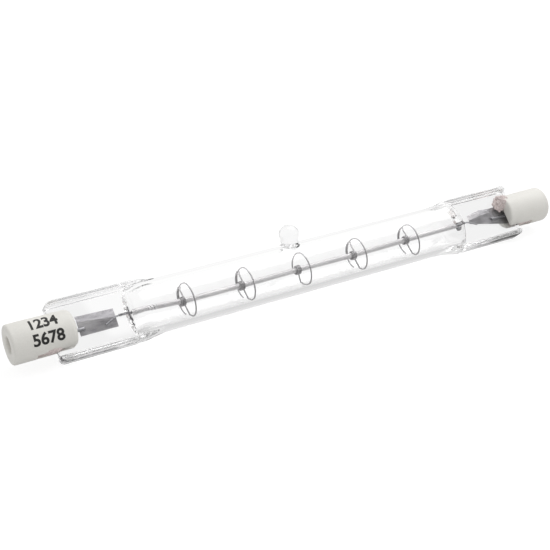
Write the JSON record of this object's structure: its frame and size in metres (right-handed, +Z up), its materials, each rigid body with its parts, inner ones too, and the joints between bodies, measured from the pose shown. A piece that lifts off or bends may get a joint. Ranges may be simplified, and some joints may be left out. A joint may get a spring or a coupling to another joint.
{
  "type": "double-ended infrared quartz lamp",
  "caption": "Clear quartz tube lamp with a coiled filament on spiral supports, flat pressed seals and round recessed-contact ceramic ends.",
  "frame": {"origin": "on the ground under the middle of the lamp; the lamp axis is 5 mm above it", "axes": "+X along the lamp towards the right cap, +Z up, with the seals' lower edges on the ground on the -Y side"},
  "size_m": [0.1176, 0.01, 0.0138],
  "materials": {
    "quartz": "clear fire-polished fused quartz",
    "coil_tungsten": "close-wound fine grey wire",
    "support_tungsten": "drawn dark grey wire",
    "molybdenum_wire": "drawn grey wire",
    "molybdenum_foil": "rolled satin foil",
    "contact_metal": "dull nickel",
    "steatite": "unglazed off-white steatite",
    "cement": "matt pinkish-brown cement"
  },
  "bodies": {
    "root": {"quartz_envelope": "quartz", "filament": "coil_tungsten", "filament_support_1": "support_tungsten", "filament_support_2": "support_tungsten", "filament_support_3": "support_tungsten", "filament_support_4": "support_tungsten", "filament_support_5": "support_tungsten", "ceramic_cap_left": "steatite", "contact_left": "contact_metal", "cement_left": "cement", "outer_lead_left": "molybdenum_wire", "foil_left": "molybdenum_foil", "inner_lead_left": "molybdenum_wire", "lead_overwind_left": "coil_tungsten", "ceramic_cap_right": "steatite", "contact_right": "contact_metal", "cement_right": "cement", "outer_lead_right": "molybdenum_wire", "foil_right": "molybdenum_foil", "inner_lead_right": "molybdenum_wire", "lead_overwind_right": "coil_tungsten"}
  },
  "joints": []
}
